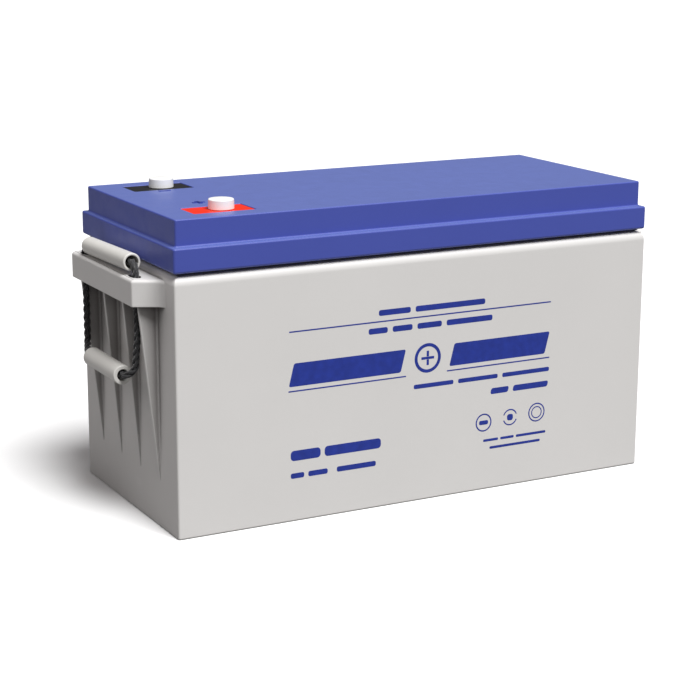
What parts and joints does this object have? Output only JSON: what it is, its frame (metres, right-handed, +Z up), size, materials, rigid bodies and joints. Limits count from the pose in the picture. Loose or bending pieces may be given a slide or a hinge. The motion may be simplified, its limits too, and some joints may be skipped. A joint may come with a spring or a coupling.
{
  "type": "deep cycle battery",
  "caption": "Sealed 12 V deep cycle block battery: grey ribbed case, stepped blue lid, two capped bolt terminals and rope carrying handles under end ledges.",
  "frame": {"origin": "middle of the base, on the surface that the battery stands on", "axes": "+X along the length, away from the terminals; +Y across, from the positive towards the negative terminal; +Z up"},
  "size_m": [0.537, 0.215, 0.2821],
  "materials": {
    "case_grey": "fine satin moulded ABS",
    "lid_blue": "satin moulded ABS",
    "sealant": "dull black sealing bead",
    "pad_red": "semi-gloss red",
    "pad_black": "semi-gloss black",
    "cap_white": "satin white",
    "grip_grey": "satin, light grey",
    "rope_black": "three-strand twisted rope",
    "terminal_brass": "turned, light tarnish",
    "lead": "cast lead, dull",
    "positive_paste": "dark brown lead dioxide paste",
    "negative_paste": "grey sponge lead paste",
    "glass_mat": "felted white glass fibre",
    "valve_rubber": "black moulded rubber"
  },
  "bodies": {
    "battery": {"case": "case_grey", "cell_link_1": "lead", "cell_link_2": "lead", "cell_link_3": "lead", "cell_link_4": "lead", "cell_link_5": "lead", "lid": "lid_blue", "lid_seal": "sealant", "negative_pad": "pad_black", "negative_plates_1": "negative_paste", "negative_plates_2": "negative_paste", "negative_plates_3": "negative_paste", "negative_plates_4": "negative_paste", "negative_plates_5": "negative_paste", "negative_plates_6": "negative_paste", "negative_post": "terminal_brass", "negative_post_seal": "valve_rubber", "negative_riser": "lead", "positive_pad": "pad_red", "positive_plates_1": "positive_paste", "positive_plates_2": "positive_paste", "positive_plates_3": "positive_paste", "positive_plates_4": "positive_paste", "positive_plates_5": "positive_paste", "positive_plates_6": "positive_paste", "positive_post": "terminal_brass", "positive_post_seal": "valve_rubber", "positive_riser": "lead", "relief_valve_1": "valve_rubber", "relief_valve_2": "valve_rubber", "relief_valve_3": "valve_rubber", "relief_valve_4": "valve_rubber", "relief_valve_5": "valve_rubber", "relief_valve_6": "valve_rubber", "separator_1": "glass_mat", "separator_2": "glass_mat", "separator_3": "glass_mat", "separator_4": "glass_mat", "separator_5": "glass_mat", "separator_6": "glass_mat", "top_cover": "lid_blue"},
    "handle_left": {"rope_left": "rope_black"},
    "grip_left": {"grip_tube_left": "grip_grey"},
    "stop_left": {"stop_tube_left": "grip_grey"},
    "handle_right": {"rope_right": "rope_black"},
    "grip_right": {"grip_tube_right": "grip_grey"},
    "stop_right": {"stop_tube_right": "grip_grey"},
    "cap_positive": {"positive_cap": "cap_white"},
    "cap_negative": {"negative_cap": "cap_white"}
  },
  "joints": [
    {"name": "left_handle_lift", "type": "slide", "parent": "battery", "child": "handle_left", "axis": [0, 0, 1], "range_m": [0, 0.055]},
    {"name": "left_grip_spin", "type": "hinge", "parent": "handle_left", "child": "grip_left", "pos_m": [-0.252, -0.0015, 0.23005], "axis": [0, 0.9997, -0.0247], "continuous": true},
    {"name": "left_stop_spin", "type": "hinge", "parent": "handle_left", "child": "stop_left", "pos_m": [-0.26, -0.008, 0.133], "axis": [0, 1, 0], "continuous": true},
    {"name": "right_handle_lift", "type": "slide", "parent": "battery", "child": "handle_right", "axis": [0, 0, 1], "range_m": [0, 0.055]},
    {"name": "right_grip_spin", "type": "hinge", "parent": "handle_right", "child": "grip_right", "pos_m": [0.252, 0.0015, 0.23005], "axis": [0, -0.9997, -0.0247], "continuous": true},
    {"name": "right_stop_spin", "type": "hinge", "parent": "handle_right", "child": "stop_right", "pos_m": [0.26, 0.008, 0.133], "axis": [0, -1, 0], "continuous": true},
    {"name": "positive_cap_pull", "type": "slide", "parent": "battery", "child": "cap_positive", "axis": [0, 0, 1], "range_m": [0, 0.025]},
    {"name": "negative_cap_pull", "type": "slide", "parent": "battery", "child": "cap_negative", "axis": [0, 0, 1], "range_m": [0, 0.025]}
  ]
}
